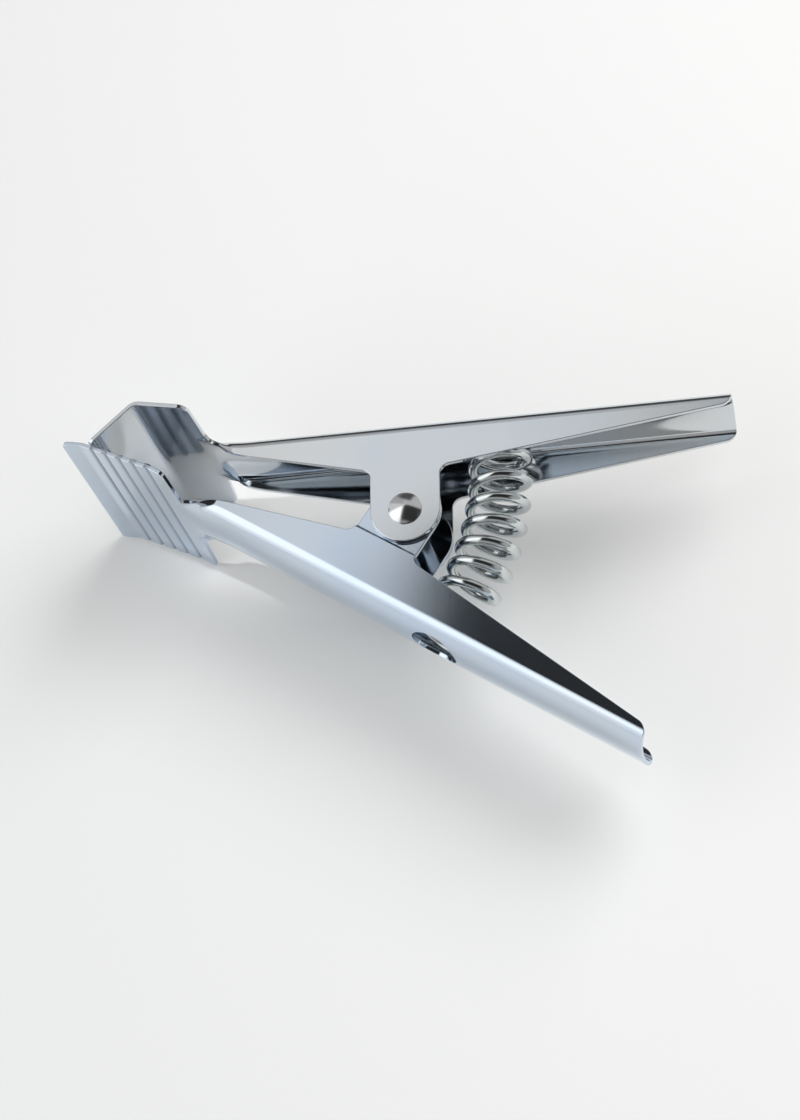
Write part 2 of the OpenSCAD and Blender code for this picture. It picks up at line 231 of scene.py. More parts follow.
def blank_corners(front_a, rear_corner_r):
    """Half of the blank's outline, from the middle of the jaw's front edge to the handle's end."""
    return [
        [front_a, jaw_half_w, jaw_corner_r],
        [-jaw_rear_l - jaw_sweep, jaw_half_w, rear_corner_r],
        [-jaw_rear_l, plate_root_b, 0],
        [-jaw_rear_l - notch_back, notch_b, notch_r],
        [neck_a, flange_front_b(neck_a), neck_r],
        [-ear_r, flange_front_b(-ear_r), ear_front_r],
        [-ear_r, pivot_b + ear_r, ear_r - 0.01],
        [ear_r, pivot_b + ear_r, ear_r - 0.01],
        [ear_r, flange_rear_b(ear_r), ear_rear_r],
        [handle_l, flange_rear_b(handle_l), handle_corner_r]]

def blank_outline(front_a, rear_corner_r):
    """The whole outline, counter-clockwise: the half and its mirror image in b."""
    half = blank_corners(front_a, rear_corner_r)
    other = [[a, -b, r] for a, b, r in half[::-1]]
    return rounded_loop((half + other)[::-1])

def blank_holes():
    """The rivet's bore in each ear and the round hole behind the spring."""
    bore_r = rivet_r + bore_clearance
    return [round_loop(0, pivot_b, bore_r), round_loop(0, -pivot_b, bore_r),
            round_loop(seat_u, 0, web_hole_r)]

print("blank corners per half:", len(blank_corners(-70.0, 1.0)))

# %% [markdown]
# The blank is filled with triangles on a grid whose lines crowd together where the metal bends: across
# the two long bends, at the joggle, at the folds and at the pressed grooves. Blender's own triangulator
# joins the outline, the holes and the grid points, and keeps every edge of the outline as an edge.
# %% Filling the blank
def graded(stops):
    """Grid lines from [value, spacing] stops: each stretch is divided at the spacing of its start."""
    lines = [np.linspace(p, q, max(1, int(round((q - p) / s))), endpoint=False)
             for (p, s), (q, _) in zip(stops, stops[1:])]
    return np.concatenate(lines + [[stops[-1][0]]])

def fill_blank(outline, holes, a_lines, b_lines, clearance=0.22):
    """Triangles that fill an outline less its holes, from grid points kept clear of every edge."""
    grid = np.stack(np.meshgrid(a_lines, b_lines, indexing="ij"), -1).reshape(-1, 2)
    keep = inside(grid, outline)
    for loop in [outline] + holes:
        p, q = loop, np.roll(loop, -1, 0)
        near = np.zeros(len(grid), bool)
        for part in np.array_split(np.arange(len(grid)), 40):
            t = ((grid[part, None] - p) * (q - p)).sum(2) / ((q - p) ** 2).sum(1)
            foot = p + np.clip(t, 0, 1)[..., None] * (q - p)
            near[part] = np.linalg.norm(grid[part, None] - foot, axis=2).min(1) < clearance
        keep &= ~near
    for loop in holes:
        keep &= ~inside(grid, loop)
    loops = [outline] + holes
    starts = np.cumsum([0] + [len(l) for l in loops])
    edges = [(s + i, s + (i + 1) % len(l)) for s, l in zip(starts, loops) for i in range(len(l))]
    points = np.concatenate(loops + [grid[keep]])
    made = delaunay_2d_cdt([Vector(p) for p in points], edges, [], 0, 1e-6)
    flat = np.array([v[:] for v in made[0]])
    triangles = np.array(made[2])
    order = np.array([o[0] for o in made[3]])
    place = np.empty(len(points), int)
    place[order] = np.arange(len(order))
    loops_at = [place[np.arange(s, s + len(l))] for s, l in zip(starts, loops)]
    middle = flat[triangles].mean(1)
    good = inside(middle, flat[loops_at[0]])
    for at in loops_at[1:]:
        good &= ~inside(middle, flat[at])
    return flat, triangles[good], loops_at

b_half = graded([[0, 0.7], [7.0, 0.28], [11.0, 0.9], [20.4, 0.13], [21.9, 0.9], [38.0, 1]])
b_lines = np.concatenate([-b_half[:0:-1], b_half])
print("grid lines across the blank:", len(b_lines))

# %% [markdown]
# Pressing bends the sheet twice over. Along the arm it follows a side profile: straight behind the
# neck, then tilted and folded at the jaw. Across the arm it follows a section: a shallow arch, a tight
# bend each side, and flat flanges. At the neck both the arch and the bends relax until the sheet is
# flat, which leaves the soft trumpet shape where a stamped channel spreads into a plate.
# %% The press
def arc_step(length, curvature, heading):
    """Where an arc leads: its chord is length * sinc(curvature * length / 2), at the mean heading."""
    mid = curvature * length / 2
    chord = length * np.sinc(mid / math.pi)
    return chord * np.cos(heading + mid), chord * np.sin(heading + mid)

def arm_section(b, arch, bend):
    """Across-arm position and drop of blank distance b. arch and bend run from 0, flat, to 1, pressed:
    the arch has curvature arch / crown_r, and the bend turns through what is left of a right angle."""
    side, b = np.sign(b), np.abs(b)
    on_arch = np.minimum(b, arch_b)
    on_bend = np.clip(b - arch_b, 0, bend_end_b - arch_b)
    on_flange = np.maximum(b - bend_end_b, 0)
    bend_turn = (math.pi / 2 - arch_angle) * bend
    z1, d1 = arc_step(on_arch, arch / crown_r, 0.0)
    z2, d2 = arc_step(on_bend, bend_turn / (bend_end_b - arch_b), arch * arch_angle)
    z3, d3 = arc_step(on_flange, 0.0, arch * arch_angle + bend_turn)
    return side * (z1 + z2 + z3), d1 + d2 + d3

neck_start = 30.0
profile_s = np.linspace(neck_start, 80, 5001)
plate_rise = (35.0, 43.0)
arch_fade = (40.9, 47.6)
bend_fade = (44.7, 47.6)
side_band = (8.0, 10.6)
side_lead = 2.2
groove_floor = 0.08

def side_profile(folds):
    """The arm's side view ahead of the neck, by distance s along the metal: each fold of
    (s, turn in degrees, radius) adds its turn evenly over radius * turn, centred on s."""
    heading = np.zeros_like(profile_s)
    for s, degrees, radius in folds:
        reach = max(abs(math.radians(degrees)) * radius, 0.2) / 2
        heading += math.radians(degrees) * np.clip((profile_s - s + reach) / (2 * reach), 0, 1)
    step = profile_s[1] - profile_s[0]
    u = -profile_s[0] - np.concatenate([[0], np.cumsum(np.cos(heading[:-1]))]) * step
    v = np.concatenate([[0], np.cumsum(np.sin(heading[:-1]))]) * step
    rise = crown_v + (plate_v - crown_v) * smooth(profile_s, *plate_rise)
    return u, v + rise, heading

def dent(s, grooves):
    """How deep the grooves of (s, width, depth) are at s: each a V, whose depth grows evenly from both
    sides to a narrow floor."""
    deep = np.zeros_like(s)
    for at, width, depth in grooves:
        deep += depth * np.clip((width / 2 - np.abs(s - at)) / (width / 2 - groove_floor), 0, 1)
    return deep

def press(a, b, folds, inset, grooves):
    """Blank (a, b) to arm space (u, v, z) on the outer face. The section hangs from the side profile
    along its normal, flattens a little later in its middle than at its sides, and sinks by the
    grooves' dents; the ears step in by inset."""
    u_line, v_line, heading_line = side_profile(folds)
    s = -a
    ahead = s > profile_s[0]
    u = np.where(ahead, np.interp(s, profile_s, u_line), a)
    v = np.where(ahead, np.interp(s, profile_s, v_line), crown_v)
    tilt = np.where(ahead, np.interp(s, profile_s, heading_line), 0.0)
    late = s + side_lead * smooth(np.abs(b), *side_band)
    z, drop = arm_section(b, 1 - smooth(late, *arch_fade), 1 - smooth(late, *bend_fade))
    drop = drop + dent(s, grooves)
    u = u - drop * np.sin(tilt)
    v = v - drop * np.cos(tilt)
    z = z - np.sign(z) * inset * (1 - smooth(v, joggle[1], joggle[0])) * (s < neck_start)
    return np.stack([u, v, z], -1)

def press_normals(a, b, *how):
    """Unit normals of the pressed outer face, from the cross product of its two slopes."""
    h = 0.01
    along = press(a + h, b, *how) - press(a - h, b, *how)
    across = press(a, b + h, *how) - press(a, b - h, *how)
    return unit(np.cross(across, along))

ear_point = press(np.array([0.0]), np.array([pivot_b]), [], 0, [])[0]
print("pressed ear face at z =", round(float(ear_point[2]), 3))

# %% [markdown]
# A sheet has two faces and an edge all round. The second face is the first one moved inwards by the
# sheet's thickness along its normals. Shearing leaves an edge that is never quite sharp, so a small
# round joins it to both faces. It is only 0.16 mm, but it is what catches the light on such parts.
# %% From blank to sheet
def place(points, flip):
    """Arm space in mm to the part's frame in metres: a turn by half_angle about the rivet, mirrored in
    Y for the lower arm, then moved to the pivot."""
    c, s = math.cos(half_angle), math.sin(half_angle)
    x = points[:, 0] * c - points[:, 1] * s
    y = points[:, 0] * s + points[:, 1] * c
    return (np.stack([x, -y if flip else y, points[:, 2]], 1) + pivot) * MM

def turned(normals, flip):
    """The same turn for directions."""
    return (place(normals, flip) - place(np.zeros((1, 3)), flip)) / MM

def link(mesh, name):
    """A new object in the scene that shows the mesh."""
    obj = bpy.data.objects.new(name, mesh)
    bpy.context.scene.collection.objects.link(obj)
    return obj

def build(name, points, faces, normals, uv=None):
    """A mesh object from arrays, with smooth shading from the surface's own normals."""
    mesh = bpy.data.meshes.new(name)
    mesh.from_pydata(points.tolist(), [], faces.tolist())
    if uv is not None:
        corner = np.empty(len(mesh.loops), np.int32)
        mesh.loops.foreach_get("vertex_index", corner)
        mesh.uv_layers.new(name="sheet").data.foreach_set("uv", uv[corner].astype(np.float32).ravel())
    mesh.shade_smooth()
    mesh.normals_split_custom_set_from_vertices(normals.tolist())
    mesh.update()
    return link(mesh, name)

rim_turn = np.radians([30, 60, 90])

def sheet_arm(name, front_a, rear_corner_r, a_stops, how, flip):
    """A pressed arm: outer face, inner face at sheet_t along the normals, and a rounded rim that runs
    from one to the other round the outline and every hole."""
    loops = [blank_outline(front_a, rear_corner_r)] + [loop[::-1] for loop in blank_holes()]
    ways = [outward(loop) for loop in loops]
    inner_loops = [loop - edge_r * way for loop, way in zip(loops, ways)]
    flat, triangles, loops_at = fill_blank(inner_loops[0], inner_loops[1:], graded(a_stops), b_lines)
    a, b = flat.T
    outer = press(a, b, *how)
    normal = press_normals(a, b, *how)
    count = len(flat)
    points, normals = [outer, outer - sheet_t * normal], [normal, -normal]
    blank = [flat, flat]
    faces = [triangles, triangles[:, ::-1] + count]
    total = 2 * count
    for at, way in zip(loops_at, ways):
        out = unit(press(*(flat[at] + 0.01 * way).T, *how) - outer[at])
        rows = [at]
        for depth, lean in [(0, rim_turn), (sheet_t, rim_turn[::-1])]:
            for angle in lean:
                side = edge_r * math.sin(angle) * out
                sink = edge_r * (1 - math.cos(angle))
                down = sink if depth == 0 else sheet_t - sink
                points.append(outer[at] + side - down * normal[at])
                facing = math.cos(angle) * (1 if depth == 0 else -1)
                normals.append(facing * normal[at] + math.sin(angle) * out)
                blank.append(flat[at])
                rows.append(total + np.arange(len(at)))
                total += len(at)
        rows.append(at + count)
        for top, low in zip(rows, rows[1:]):
            nt, nl = np.roll(top, -1), np.roll(low, -1)
            faces += [np.stack([top, low, nl], 1), np.stack([top, nl, nt], 1)]
    faces = np.concatenate(faces)
    if not flip:
        faces = faces[:, ::-1]
    obj = build(name, place(np.concatenate(points), flip), faces,
                turned(np.concatenate(normals), flip), np.concatenate(blank) * MM)
    # Groove depth at each point, from 0 to 1, which the materials use to paint shade into the grooves.
    painted_groove_shade = dent(-np.concatenate(blank)[:, 0], [(at, wide, 1.0) for at, wide, _ in how[2]])
    depths = obj.data.attributes.new("painted_groove_shade", "FLOAT", "POINT").data
    depths.foreach_set("value", painted_groove_shade.astype(np.float32))
    print(name, "has", len(faces), "triangles")
    return obj

# %% [markdown]
# The upper arm's jaw is a hook: a roof that tilts up a little, then a lip folded down through fifty-three
# degrees to land on the plate below. A fold rounds off its corner, so the metal over it is shorter than
# the two straight sides, and fold_saved is what that saves.
# %% Upper arm
roof_l = 13.3
roof_tilt = 10.8
lip_tilt = 42.4
lip_l = 13.55
fold_r = 3.2
fold_deg = roof_tilt + lip_tilt
fold_saved = 2 * fold_r * math.tan(math.radians(fold_deg) / 2) - fold_r * math.radians(fold_deg)
fold_s = jaw_rear_l + roof_l - fold_saved / 2
lip_end_a = -(jaw_rear_l + roof_l + lip_l - fold_saved)
upper_folds = [(jaw_rear_l, roof_tilt, 2.0), (fold_s, -fold_deg, fold_r)]
upper_stops = [[lip_end_a, 0.9], [-60.6, 0.16], [-55.9, 0.8], [-46.8, 0.3], [-39.0, 0.8],
               [-11.0, 0.5], [12.0, 1.2], [68.0, 0.5], [handle_l, 1]]
upper_arm = sheet_arm("upper_arm_sheet", lip_end_a, 2.4, upper_stops, (upper_folds, 0.0, []), False)

# %% [markdown]
# The lower arm's jaw is a flat plate with five grooves pressed in from outside, which stand as ribs
# inside and grip, and a tip that flares away so that work slides in. Its ears are joggled inwards by a
# sheet's thickness, so that they nest between the upper pair.
# %% Lower arm
plate_bend_l = 49.4
plate_l = 17.5
tip_l = 4.4
tip_end_a = -(plate_bend_l + plate_l + tip_l)
lower_folds = [(plate_bend_l, 8.5, 3.0), (plate_bend_l + plate_l, 14.5, 1.5)]
groove_at = plate_bend_l + 0.85 + 3.45 * np.arange(5)
grooves = [(s, 1.2, 0.45) for s in groove_at]
lower_stops = [[tip_end_a, 0.5]] + [[-s + shift, step] for s in groove_at[::-1]
                                    for shift, step in ((-0.7, 0.1), (0.7, 0.5))]
lower_stops += [[-47.5, 0.3], [-39.0, 0.8], [-11.0, 0.5], [12.0, 1.2], [68.0, 0.5], [handle_l, 1]]
lower_arm = sheet_arm("lower_arm_sheet", tip_end_a, 1.0, lower_stops,
                      (lower_folds, ear_inset, grooves), True)

# %% [markdown]
# ## The rivet
# A solid rivet is a turned shape: a profile carried once round its axis. One head is domed, and the
# other is the flatter one that the press formed on the far side.
# %% Rivet
head_r = 3.65
head_seat = half_w + 0.1
dome_h = 1.5
tail_h = 1.2

def head_profile(height, rim=0.3, soft=0.12):
    """Radius and height from the rim's foot to the cap's top: a soft foot, a short rim, and a cap of a
    sphere of radius (head_r^2 + cap^2) / 2 cap."""
    cap = height - rim
    cap_r = (head_r ** 2 + cap ** 2) / (2 * cap)
    angle = np.linspace(math.asin(head_r / cap_r), 0, 24)
    foot = [[rivet_r, 0], [head_r - soft, 0], [head_r - 0.3 * soft, 0.3 * soft], [head_r, soft]]
    dome = np.stack([cap_r * np.sin(angle), height - cap_r + cap_r * np.cos(angle)], 1)
    return np.concatenate([foot, dome])

def revolved(name, profile, sides=72):
    """A closed turned solid: profile rows of (radius, height) carried round +Z, poles at radius 0."""
    angle = np.linspace(0, 2 * math.pi, sides, endpoint=False)
    ring = np.stack([np.cos(angle), np.sin(angle)], 1)
    body = profile[1:-1]
    points = np.concatenate([
        np.concatenate([(r * ring), np.full((sides, 1), h)], 1) for r, h in body]
        + [[[0, 0, profile[0, 1]], [0, 0, profile[-1, 1]]]])
    i = np.arange(sides)
    j = (i + 1) % sides
    faces = []
    for k in range(len(body) - 1):
        low, top = k * sides, (k + 1) * sides
        faces += [np.stack([low + i, low + j, top + j], 1), np.stack([low + i, top + j, top + i], 1)]
    last = (len(body) - 1) * sides
    faces += [np.stack([j, i, np.full(sides, len(points) - 2)], 1),
              np.stack([last + i, last + j, np.full(sides, len(points) - 1)], 1)]
    mesh = bpy.data.meshes.new(name)
    mesh.from_pydata(((points + pivot) * MM).tolist(), [], np.concatenate(faces).tolist())
    mesh.shade_smooth()
    mesh.set_sharp_from_angle(angle=math.radians(40))
    print(name, "has", len(mesh.polygons), "triangles")
    return link(mesh, name)

dome_side = head_profile(dome_h) + [0, head_seat]
tail_side = head_profile(tail_h) * [1, -1] - [0, head_seat]
rivet = revolved("rivet", np.concatenate([tail_side[::-1], dome_side]))

# %% [markdown]
# ## The spring
# A compression spring is a round wire wound at an even pitch, with its last turn at each end closed up
# to sit flat. This one is also bowed: its ends follow the sloping backs of the arms, so its axis curves
# away from the rivet. The wire is swept along that path ring by ring.
# %% Spring
wire_d = 2.3
coil_d = 14.4
turns = 10
end_pitch = 2.85
seat_gap = 0.15
spring_bow = 0.9
middle_turn = math.radians(263)
rings_per_turn = 48
wire_sides = 20
cut_squeeze = 0.86
cut_bevel = 0.12

coil_r = (coil_d - wire_d) / 2
seat_z = min(coil_d / 2, half_w - sheet_t)
seat_v = crown_v - crown_r + math.sqrt((crown_r - sheet_t) ** 2 - seat_z ** 2)
seat_v = min(seat_v, flange_top_v + math.sqrt((bend_r - sheet_t) ** 2 - (seat_z - bend_z) ** 2))
wire_v = seat_v - seat_gap - wire_d / 2
seat_x = seat_u * math.cos(half_angle) - wire_v * math.sin(half_angle)
half_l = seat_u * math.sin(half_angle) + wire_v * math.cos(half_angle)
slope_bow = half_l * math.tan(half_angle) / 2
mid_pitch = (2 * half_l - 2 * end_pitch) / (turns - 2)

def coil_centre(n):
    """The coil's axis after n turns: it drops by end_pitch in the closed turns and mid_pitch between
    them, and bows as slope_bow (1 - t^2) + spring_bow (1 - t^2)^2 with t = y / half_l."""
    drop = end_pitch * np.minimum(n, 1) + mid_pitch * np.clip(n - 1, 0, turns - 2)
    y = half_l - drop - end_pitch * np.maximum(0, n - turns + 1)
    t = y / half_l
    x = seat_x + slope_bow * (1 - t * t) + spring_bow * (1 - t * t) ** 2
    slope = -(2 * slope_bow * t + 4 * spring_bow * t * (1 - t * t)) / half_l
    side = unit(np.stack([np.ones_like(slope), -slope, np.zeros_like(slope)], 1))
    return np.stack([x, y, np.zeros_like(x)], 1), side

def spring_wire(name):
    """A closed tube of wire_sides round the helix: the centre plus coil_r times the cosine of the turn
    angle to the side plus its sine upwards. Both cut ends run on straight and are bevelled."""
    n = np.arange(turns * rings_per_turn + 1) / rings_per_turn
    centre, side = coil_centre(n)
    phase = (middle_turn + 2 * math.pi * (n - turns / 2))[:, None]
    radial = np.cos(phase) * side + np.sin(phase) * [0, 0, 1]
    path = centre + coil_r * radial
    way = unit(np.gradient(path, axis=0))
    across = unit(np.cross(way, np.cross(radial, way)))
    up = np.cross(way, across)
    first, last = path[:1] - wire_d * way[:1], path[-1:] + wire_d * way[-1:]
    squeeze = np.concatenate([[0.0, cut_squeeze, 1.0], np.ones(len(n)), [1.0, cut_squeeze, 0.0]])
    tip_in, tip_out = first - cut_bevel * way[:1], last + cut_bevel * way[-1:]
    path = np.concatenate([tip_in, tip_in, first, path, last, tip_out, tip_out])
    across = np.concatenate([across[:1]] * 3 + [across] + [across[-1:]] * 3)
    up = np.concatenate([up[:1]] * 3 + [up] + [up[-1:]] * 3)
    angle = np.linspace(0, 2 * math.pi, wire_sides, endpoint=False)
    round_way = (np.cos(angle)[None, :, None] * across[:, None]
                 + np.sin(angle)[None, :, None] * up[:, None])
    tube = path[:, None] + wire_d / 2 * squeeze[:, None, None] * round_way
    rings = len(path) - 2
    points = np.concatenate([tube[1:-1].reshape(-1, 3), path[:1], path[-1:]])
    i, k = np.meshgrid(np.arange(rings - 1), np.arange(wire_sides), indexing="ij")
    p, q = i * wire_sides + k, i * wire_sides + (k + 1) % wire_sides
    walls = np.stack([p, q, q + wire_sides, p + wire_sides], -1).reshape(-1, 4)
    k = np.arange(wire_sides)
    end = (rings - 1) * wire_sides
    tip = np.full(wire_sides, rings * wire_sides)
    caps = [np.stack([(k + 1) % wire_sides, k, tip], 1),
            np.stack([end + k, end + (k + 1) % wire_sides, tip + 1], 1)]
    mesh = bpy.data.meshes.new(name)
    mesh.from_pydata(((points + pivot) * MM).tolist(), [], walls.tolist() + np.concatenate(caps).tolist())
    mesh.shade_smooth()
    mesh.set_sharp_from_angle(angle=math.radians(50))
    turn_of = np.concatenate([[0] * 2, n, [turns] * 2])
    return link(mesh, name), np.concatenate([np.repeat(turn_of, wire_sides), [0, turns]])

spring, turn_of_point = spring_wire("spring_wire")
print("spring:", turns, "turns,", len(spring.data.polygons), "faces, pitch", round(mid_pitch, 2), "mm")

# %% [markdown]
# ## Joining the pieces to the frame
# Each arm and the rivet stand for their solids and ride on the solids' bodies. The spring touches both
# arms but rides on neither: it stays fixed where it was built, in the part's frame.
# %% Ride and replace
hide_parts("upper_arm")
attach(upper_arm, "upper")
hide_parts("lower_arm")
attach(lower_arm, "lower")
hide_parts("pivot_rivet")
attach(rivet, "lower")
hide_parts("spring")
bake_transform(spring)

# %% [markdown]
# ## Bright zinc plating
# Zinc plate over rolled steel is a metal with three layers of detail: a fine grain drawn out along the
# strip's rolling direction, which runs across these arms, a soft cloudiness where the plating bath left
# it thicker or thinner, and a faint blue and straw tint from the clear passivation. One group makes all
# three from noise, and each material sets how strong they are.
# %% Plating group
def plating_group():
    """Colour, roughness and height from a coordinate: a fine noise drawn out along y is the grain, and
    two soft noises are the cloud and the tint."""
    group = bpy.data.node_groups.new("zinc_plating", "ShaderNodeTree")
    side = group.interface
    side.new_socket("Coordinate", in_out="INPUT", socket_type="NodeSocketVector")
    side.new_socket("Metal", in_out="INPUT", socket_type="NodeSocketColor")
    for name, value in [("Grain scale", 3600.0), ("Cloud scale", 60.0), ("Roughness", 0.25),
                        ("Grain strength", 0.08), ("Cloud strength", 0.06), ("Tint strength", 0.3)]:
        side.new_socket(name, in_out="INPUT", socket_type="NodeSocketFloat").default_value = value
    side.new_socket("Color", in_out="OUTPUT", socket_type="NodeSocketColor")
    side.new_socket("Roughness", in_out="OUTPUT", socket_type="NodeSocketFloat")
    side.new_socket("Height", in_out="OUTPUT", socket_type="NodeSocketFloat")
    nodes, links = group.nodes, group.links
    start, stop = nodes.new("NodeGroupInput"), nodes.new("NodeGroupOutput")

    def math_node(kind, a, b):
        """One of Blender's math nodes. Each input is a number or an output."""
        node = nodes.new("ShaderNodeMath")
        node.operation = kind
        for socket, value in zip(node.inputs, (a, b)):
            if isinstance(value, float):
                socket.default_value = value
            else:
                links.new(value, socket)
        return node.outputs[0]

    def noise(vector, scale, detail, rough=0.55):
        """Fractal noise between 0 and 1."""
        node = nodes.new("ShaderNodeTexNoise")
        node.inputs["Detail"].default_value = detail
        node.inputs["Roughness"].default_value = rough
        links.new(vector, node.inputs["Vector"])
        links.new(scale, node.inputs["Scale"])
        return node.outputs["Fac"]

    stretch = nodes.new("ShaderNodeVectorMath")
    stretch.operation = "MULTIPLY"
    stretch.inputs[1].default_value = (1.2, 0.6, 1.0)
    links.new(start.outputs["Coordinate"], stretch.inputs[0])
    grain = noise(stretch.outputs[0], start.outputs["Grain scale"], 3.0)
    cloud = noise(start.outputs["Coordinate"], start.outputs["Cloud scale"], 4.0)
    tint_scale = math_node("MULTIPLY", start.outputs["Cloud scale"], 0.45)
    tint = noise(start.outputs["Coordinate"], tint_scale, 2.0)

    ramp = nodes.new("ShaderNodeValToRGB")
    ramp.color_ramp.elements[0].position = 0.34
    ramp.color_ramp.elements[0].color = (0.80, 0.89, 1.0, 1)
    ramp.color_ramp.elements[1].position = 0.68
    ramp.color_ramp.elements[1].color = (1.0, 0.965, 0.90, 1)
    middle = ramp.color_ramp.elements.new(0.5)
    middle.color = (0.95, 0.98, 1.0, 1)
    links.new(tint, ramp.inputs[0])
    tinted = nodes.new("ShaderNodeMix")
    tinted.data_type = "RGBA"
    tinted.blend_type = "MULTIPLY"
    links.new(start.outputs["Tint strength"], tinted.inputs["Factor"])
    links.new(start.outputs["Metal"], tinted.inputs["A"])
    links.new(ramp.outputs[0], tinted.inputs["B"])
    links.new(tinted.outputs["Result"], stop.inputs["Color"])

    grain_part = math_node("MULTIPLY", math_node("SUBTRACT", grain, 0.5), start.outputs["Grain strength"])
    cloud_part = math_node("MULTIPLY", math_node("SUBTRACT", cloud, 0.5), start.outputs["Cloud strength"])
    rough = math_node("ADD", start.outputs["Roughness"], math_node("ADD", grain_part, cloud_part))
    links.new(rough, stop.inputs["Roughness"])
    links.new(grain, stop.inputs["Height"])
    return group

plating = plating_group()
print("plating group:", len(plating.nodes), "nodes")

# %% [markdown]
# The four finishes share that group. The two sheets are nearly mirrors with a fine grain, and the lower
# one is a little bluer. The rivet, squeezed in a die, is duller, and the drawn spring wire lies between.
# The sheets read the UV map, which holds the flat blank, so their grain follows the metal round its
# bends. The pressed grooves are painted darker with depth: a painted shade in their hollows.
# %% Materials
# The colour of the painted shade in the grooves, reached at their full depth.
groove_painted_shade = (0.27, 0.31, 0.37, 1)
relief_depth = 0.00005

def plated(name, metal, rough, grain=0.08, cloud=0.06, tint=0.3, bump=0.02, by_uv=False,
           cloud_scale=60.0):
    """A metal whose colour, roughness and fine relief come from the plating group. In the deep grooves,
    where the groove attribute is not 0, painted shade mixes the colour towards a dark grey-blue."""
    material = bpy.data.materials.new(name)
    material.use_nodes = True
    nodes, links = material.node_tree.nodes, material.node_tree.links
    shader = nodes["Principled BSDF"]
    shader.inputs["Metallic"].default_value = 1.0
    where = nodes.new("ShaderNodeTexCoord")
    group = nodes.new("ShaderNodeGroup")
    group.node_tree = plating
    links.new(where.outputs["UV" if by_uv else "Object"], group.inputs["Coordinate"])
    group.inputs["Metal"].default_value = (*metal, 1)
    group.inputs["Roughness"].default_value = rough
    group.inputs["Grain strength"].default_value = grain
    group.inputs["Cloud strength"].default_value = cloud
    group.inputs["Tint strength"].default_value = tint
    group.inputs["Cloud scale"].default_value = cloud_scale
    # Painted shade: the groove depth mixes the colour towards the painted groove shade.
    deep = nodes.new("ShaderNodeAttribute")
    deep.attribute_name = "painted_groove_shade"
    groove_shade_mix = nodes.new("ShaderNodeMix")
    groove_shade_mix.data_type = "RGBA"
    groove_shade_mix.inputs["B"].default_value = groove_painted_shade
    links.new(deep.outputs["Fac"], groove_shade_mix.inputs["Factor"])
    links.new(group.outputs["Color"], groove_shade_mix.inputs["A"])
    links.new(groove_shade_mix.outputs["Result"], shader.inputs["Base Color"])
    links.new(group.outputs["Roughness"], shader.inputs["Roughness"])
    relief = nodes.new("ShaderNodeBump")
    relief.inputs["Strength"].default_value = bump
    relief.inputs["Distance"].default_value = relief_depth
    links.new(group.outputs["Height"], relief.inputs["Height"])
    links.new(relief.outputs["Normal"], shader.inputs["Normal"])
    return material

sheet_detail = {"grain": 0.05, "cloud": 0.03, "tint": 0.4, "bump": 0.06, "by_uv": True}
upper_finish = plated("zinc_on_upper_sheet", (0.70, 0.73, 0.76), 0.075, **sheet_detail)
lower_finish = plated("zinc_on_lower_sheet", (0.63, 0.705, 0.80), 0.065, **sheet_detail)
rivet_finish = plated("zinc_on_rivet", (0.74, 0.75, 0.76), 0.17, tint=0.2, cloud_scale=150.0)
wire_finish = plated("bright_drawn_wire", (0.66, 0.69, 0.69), 0.14, grain=0.03, cloud=0.03, tint=0.15)
for piece, finish in [(upper_arm, upper_finish), (lower_arm, lower_finish), (rivet, rivet_finish),
                      (spring, wire_finish)]:
    piece.data.materials.clear()
    piece.data.materials.append(finish)
print("materials:", [m.name for m in (upper_finish, lower_finish, rivet_finish, wire_finish)])

# %% [markdown]
# ## The floor
# The clamp stands on one large, plain, pale floor, matt like paper, which takes its soft shadow. A
# little light of its own keeps the floor near white wherever the camera or the metal sees it. The same
# floor shows in the metal, because both kinds of ray get that light.
# %% Floor
floor_reach = 6.0
floor_lift = 0.05
floor_mesh = bpy.data.meshes.new("floor")
floor_mesh.from_pydata([(-floor_reach, -floor_reach, 0), (floor_reach, -floor_reach, 0),
                        (floor_reach, floor_reach, 0), (-floor_reach, floor_reach, 0)],
                       [], [(0, 1, 2, 3)])
floor = link(floor_mesh, "floor")
floor_paint = bpy.data.materials.new("floor_paint")
floor_paint.use_nodes = True
floor_nodes, floor_links = floor_paint.node_tree.nodes, floor_paint.node_tree.links
floor_shader = floor_nodes["Principled BSDF"]
floor_shader.inputs["Base Color"].default_value = (0.82, 0.82, 0.81, 1)
floor_shader.inputs["Roughness"].default_value = 0.9
floor_shader.inputs["Emission Color"].default_value = (1, 1, 0.99, 1)
ray = floor_nodes.new("ShaderNodeLightPath")
seen = ray.outputs["Is Camera Ray"]
for kind in ("Is Glossy Ray", "Is Transmission Ray"):
    either = floor_nodes.new("ShaderNodeMath")
    either.operation = "MAXIMUM"
    floor_links.new(seen, either.inputs[0])
    floor_links.new(ray.outputs[kind], either.inputs[1])
    seen = either.outputs[0]
lift = floor_nodes.new("ShaderNodeMath")
lift.operation = "MULTIPLY"
lift.inputs[1].default_value = floor_lift
floor_links.new(seen, lift.inputs[0])
floor_links.new(lift.outputs[0], floor_shader.inputs["Emission Strength"])
floor.data.materials.append(floor_paint)
print("floor:", 2 * floor_reach, "m square")

# %% [markdown]
# ## The lamps
# Three large rectangles of light face the clamp from about a metre away. The larger a lamp is against
# its distance, the softer its shadows. In bright metal such lamps would show as hard white patches, so
# they are hidden from its reflections, and the surround in the next step gives the metal its bright and
# dark fields. A weak spot from straight above lifts the inside of the jaws, which would otherwise see
# only their own shade.
# %% Lamps
def aim(obj, at):
    """Turns an object so that its -Z axis, along which lamps shine, points at a place."""
    obj.rotation_euler = (at - obj.location).to_track_quat("-Z", "Y").to_euler()

